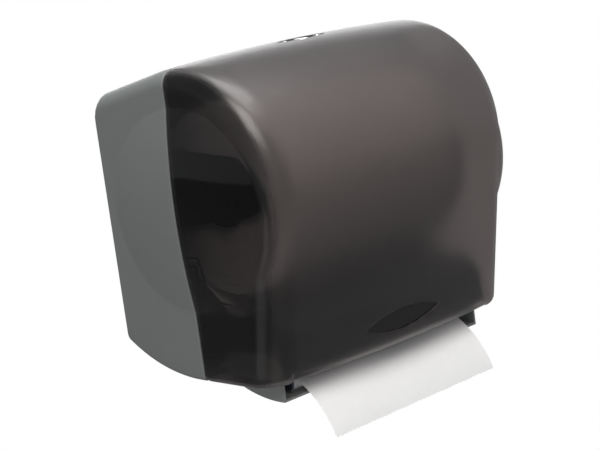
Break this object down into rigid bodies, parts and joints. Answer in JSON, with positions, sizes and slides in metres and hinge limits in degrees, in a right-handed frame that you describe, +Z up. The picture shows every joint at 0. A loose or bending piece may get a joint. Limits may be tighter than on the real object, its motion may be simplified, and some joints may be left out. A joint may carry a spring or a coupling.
{
  "type": "touchless paper towel dispenser",
  "caption": "Wall-mounted touchless towel dispenser: grey housing, smoke drop-front cover, powered feed roller, tear bar and towel roll.",
  "frame": {"origin": "on the wall plane, in the middle of the four wall screws, level with the roll's axis", "axes": "+X to the right seen from the front, +Y into the wall, +Z up"},
  "size_m": [0.385, 0.2454, 0.3811],
  "materials": {
    "housing_grey": "satin",
    "smoke_cover": "satin",
    "window_black": "gloss",
    "chute_grey": "satin",
    "module_navy": "satin",
    "arm_navy": "satin",
    "hub_plastic": "satin",
    "knob_grey": "satin",
    "gear_plastic": "satin",
    "paper_white": "matte",
    "core_board": "matte",
    "roller_rubber": "matte",
    "steel": "brushed",
    "zinc": "polished",
    "lock_inlay": "satin",
    "lock_face": "polished",
    "board_green": "satin",
    "parts_black": "satin",
    "cell_black": "gloss",
    "contact_metal": "polished",
    "lead_black": "matte",
    "eye_dark": "gloss",
    "bush_plastic": "satin"
  },
  "bodies": {
    "chassis": {"rear_housing": "housing_grey", "latch_catch": "housing_grey", "paper_chute": "chute_grey", "tear_bar": "steel", "tear_bar_screws": "steel", "left_frame": "module_navy", "right_frame": "module_navy", "roller_bushes": "bush_plastic", "compound_axle": "steel", "gear_plate": "module_navy", "motor": "zinc", "motor_screws": "steel", "drive_hood": "module_navy", "button_switch": "parts_black", "sensor_module": "parts_black", "sensor_eyes": "eye_dark", "battery_box": "module_navy", "battery_cells": "cell_black", "battery_contacts": "contact_metal", "battery_door_pin": "steel", "control_board": "board_green", "board_tray": "module_navy", "board_parts": "parts_black", "left_arm": "arm_navy", "arm_bracket": "arm_navy", "arm_pivot_pin": "steel", "arm_screws": "zinc", "paper_web": "paper_white", "paper_tail": "paper_white", "battery_lead": "lead_black", "motor_lead": "lead_black", "sensor_lead": "lead_black"},
    "cover": {"front_cover": "smoke_cover", "sensor_window": "window_black", "lock_plate": "lock_inlay", "lock_barrel": "zinc", "lock_screws": "zinc", "cover_hinge_pins": "steel"},
    "lock": {"lock_cylinder": "lock_face", "lock_cam": "steel"},
    "roll": {"towel_roll": "paper_white", "roll_core": "core_board", "left_hub": "hub_plastic"},
    "swing_arm": {"right_arm": "arm_navy"},
    "swing_hub": {"right_hub": "hub_plastic"},
    "feed": {"feed_roller": "hub_plastic", "feed_sleeves": "roller_rubber", "drive_gear": "gear_plastic"},
    "pinch": {"pinch_roller": "knob_grey"},
    "step_gear": {"compound_gear": "gear_plastic"},
    "pinion": {"motor_pinion": "contact_metal"},
    "button": {"feed_button": "knob_grey"},
    "selector": {"length_selector": "knob_grey"},
    "cell_door": {"battery_door": "knob_grey"}
  },
  "joints": [
    {"name": "cover_hinge", "type": "hinge", "parent": "chassis", "child": "cover", "pos_m": [0, -0.117, -0.1642], "axis": [1, 0, 0], "range_deg": [0, 90], "deforming": ["paper_tail"]},
    {"name": "lock_turn", "type": "hinge", "parent": "cover", "child": "lock", "pos_m": [0, -0.1245, 0.13], "axis": [0, 0, 1], "range_deg": [0, 90]},
    {"name": "roll_spin", "type": "hinge", "parent": "chassis", "child": "roll", "pos_m": [0, -0.115, 0], "axis": [1, 0, 0], "continuous": true},
    {"name": "arm_swing", "type": "hinge", "parent": "chassis", "child": "swing_arm", "pos_m": [0.139, -0.013, 0.007], "axis": [0, 0, 1], "range_deg": [0, 10], "stiffness_Nm_per_rad": 1.5, "springref_deg": -11.46},
    {"name": "hub_spin", "type": "hinge", "parent": "swing_arm", "child": "swing_hub", "pos_m": [0.131, -0.115, 0], "axis": [1, 0, 0], "continuous": true},
    {"name": "feed_spin", "type": "hinge", "parent": "chassis", "child": "feed", "pos_m": [0, -0.1605, -0.1505], "axis": [1, 0, 0], "continuous": true},
    {"name": "pinch_spin", "type": "hinge", "parent": "chassis", "child": "pinch", "pos_m": [0, -0.147, -0.17388], "axis": [1, 0, 0], "continuous": true},
    {"name": "step_spin", "type": "hinge", "parent": "chassis", "child": "step_gear", "pos_m": [0.14, -0.13795, -0.14229], "axis": [1, 0, 0], "continuous": true},
    {"name": "pinion_spin", "type": "hinge", "parent": "chassis", "child": "pinion", "pos_m": [0.145, -0.11499, -0.13009], "axis": [1, 0, 0], "continuous": true},
    {"name": "button_press", "type": "slide", "parent": "chassis", "child": "button", "axis": [0, 0, -1], "range_m": [0, 0.002], "stiffness_N_per_m": 400, "springref_m": -0.0005},
    {"name": "length_slide", "type": "slide", "parent": "chassis", "child": "selector", "axis": [1, 0, 0], "range_m": [0, 0.012]},
    {"name": "cell_door_hinge", "type": "hinge", "parent": "chassis", "child": "cell_door", "pos_m": [0, -0.0433, -0.1302], "axis": [1, 0, 0], "range_deg": [0, 90]}
  ],
  "couplings": [
    {"joint": "hub_spin", "follows": "roll_spin", "ratio": 1},
    {"joint": "feed_spin", "follows": "roll_spin", "ratio": 5.7059},
    {"joint": "pinch_spin", "follows": "roll_spin", "ratio": -10.778},
    {"joint": "step_spin", "follows": "roll_spin", "ratio": -17.118},
    {"joint": "pinion_spin", "follows": "roll_spin", "ratio": 57.059}
  ]
}
